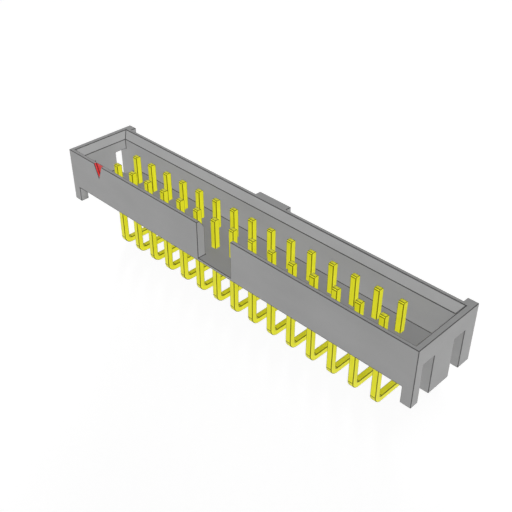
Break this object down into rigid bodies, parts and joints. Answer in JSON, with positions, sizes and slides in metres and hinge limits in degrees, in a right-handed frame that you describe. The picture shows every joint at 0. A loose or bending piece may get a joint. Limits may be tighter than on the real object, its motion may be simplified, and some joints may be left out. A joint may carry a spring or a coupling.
{
  "type": "right-angle shrouded pin header",
  "caption": "Shrouded board header laid mouth up: a moulded trough with a lead-in rim, key slot and board feet, holding square contacts whose tails bend at a right angle towards the board.",
  "frame": {"origin": "centre of the two rows of tails, on the face of the circuit board", "axes": "+X along the rows, from the marked contact 1 towards the last; +Y into the board, the way the tails point; +Z out of the mouth, the way the plug leaves"},
  "size_m": [0.0362, 0.0088, 0.0085],
  "materials": {
    "housing_plastic": "grey glass-filled polyester, fine moulded grain",
    "contact_plating": "bright yellow gold plating on a copper alloy",
    "mark_paint": "red marking paint in the recess at contact 1"
  },
  "bodies": {
    "root": {"housing": "housing_plastic", "pin_01": "contact_plating", "pin_02": "contact_plating", "pin_03": "contact_plating", "pin_04": "contact_plating", "pin_05": "contact_plating", "pin_06": "contact_plating", "pin_07": "contact_plating", "pin_08": "contact_plating", "pin_09": "contact_plating", "pin_10": "contact_plating", "pin_11": "contact_plating", "pin_12": "contact_plating", "pin_13": "contact_plating", "pin_14": "contact_plating", "pin_15": "contact_plating", "pin_16": "contact_plating", "pin_17": "contact_plating", "pin_18": "contact_plating", "pin_19": "contact_plating", "pin_20": "contact_plating", "pin_21": "contact_plating", "pin_22": "contact_plating", "pin_23": "contact_plating", "pin_24": "contact_plating", "pin_25": "contact_plating", "pin_26": "contact_plating", "pin_27": "contact_plating", "pin_28": "contact_plating", "pin_29": "contact_plating", "pin_30": "contact_plating"}
  },
  "joints": []
}
